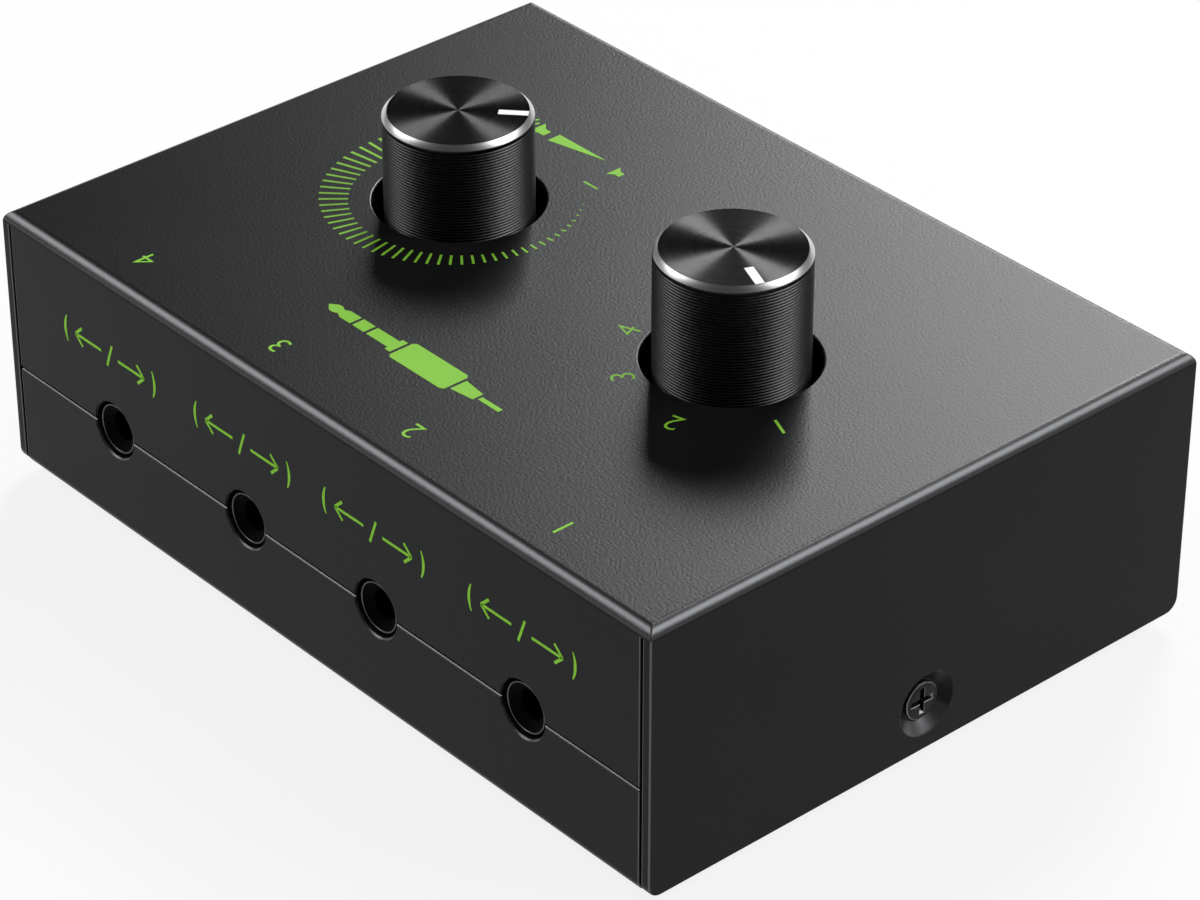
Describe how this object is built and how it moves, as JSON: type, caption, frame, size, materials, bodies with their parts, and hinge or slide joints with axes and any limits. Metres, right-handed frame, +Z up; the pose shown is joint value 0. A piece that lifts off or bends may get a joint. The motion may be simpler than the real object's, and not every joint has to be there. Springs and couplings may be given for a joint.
{
  "type": "audio source selector",
  "caption": "Low sheet-metal box with a volume knob and a stepped selector knob on top, and a row of 3.5 mm sockets along one side.",
  "frame": {"origin": "on the ground plane under the middle of the case, at the bottom centre of the bounding box", "axes": "+Z up; +X along the row of four sockets, towards the selector knob; the four sockets are on the -Y side and the common socket is on the +Y side"},
  "size_m": [0.11, 0.079, 0.0487],
  "materials": {
    "case_paint": "fine textured matt powder coat on steel sheet",
    "print_green": "thin opaque screen-printed ink",
    "knob_black": "black anodised, fine turned lines, bright cut bevel",
    "pointer_white": "white filled line",
    "knob_core": "moulded, matt",
    "shaft_steel": "turned, plated",
    "screw_black": "black oxide, satin",
    "foot_rubber": "moulded, matt",
    "board_green": "solder mask over glass fibre",
    "pillar_brass": "plated, satin",
    "plated_steel": "zinc plated",
    "jack_plastic": "moulded, satin black",
    "contact_metal": "tin plated spring metal",
    "pot_plastic": "moulded, matt",
    "wafer_brown": "resin board with printed carbon track",
    "bushing_zinc": "die-cast, satin",
    "switch_plastic": "moulded, satin"
  },
  "bodies": {
    "case": {"top_cover": "case_paint", "base_tray": "case_paint", "side_screws": "screw_black", "rubber_feet": "foot_rubber", "main_board": "board_green", "board_pillars": "pillar_brass", "board_screws": "plated_steel", "jack_1_housing": "jack_plastic", "jack_1_contacts": "contact_metal", "jack_2_housing": "jack_plastic", "jack_2_contacts": "contact_metal", "jack_3_housing": "jack_plastic", "jack_3_contacts": "contact_metal", "jack_4_housing": "jack_plastic", "jack_4_contacts": "contact_metal", "common_jack_housing": "jack_plastic", "common_jack_contacts": "contact_metal", "pot_housing": "pot_plastic", "pot_bushing": "bushing_zinc", "pot_wafers": "wafer_brown", "pot_leads": "contact_metal", "switch_base": "switch_plastic", "switch_contacts": "contact_metal", "switch_housing": "switch_plastic", "switch_bushing": "bushing_zinc", "switch_stop_ring": "plated_steel", "switch_detent_spring": "plated_steel"},
    "volume_knob": {"volume_knob_shell": "knob_black", "volume_knob_insert": "knob_core", "volume_knob_pointer": "pointer_white", "pot_shaft": "shaft_steel", "pot_rotor": "pot_plastic", "pot_wipers": "contact_metal"},
    "selector_knob": {"selector_knob_shell": "knob_black", "selector_knob_insert": "knob_core", "selector_knob_pointer": "pointer_white", "switch_shaft": "shaft_steel", "switch_rotor": "switch_plastic", "switch_bridges": "contact_metal"}
  },
  "joints": [
    {"name": "volume_turn", "type": "hinge", "parent": "case", "child": "volume_knob", "pos_m": [-0.02295, 0.0012, 0.0464], "axis": [0, 0, 1], "range_deg": [-265, 0]},
    {"name": "selector_turn", "type": "hinge", "parent": "case", "child": "selector_knob", "pos_m": [0.02255, 0.0012, 0.04875], "axis": [0, 0, 1], "range_deg": [-135, 0]}
  ]
}
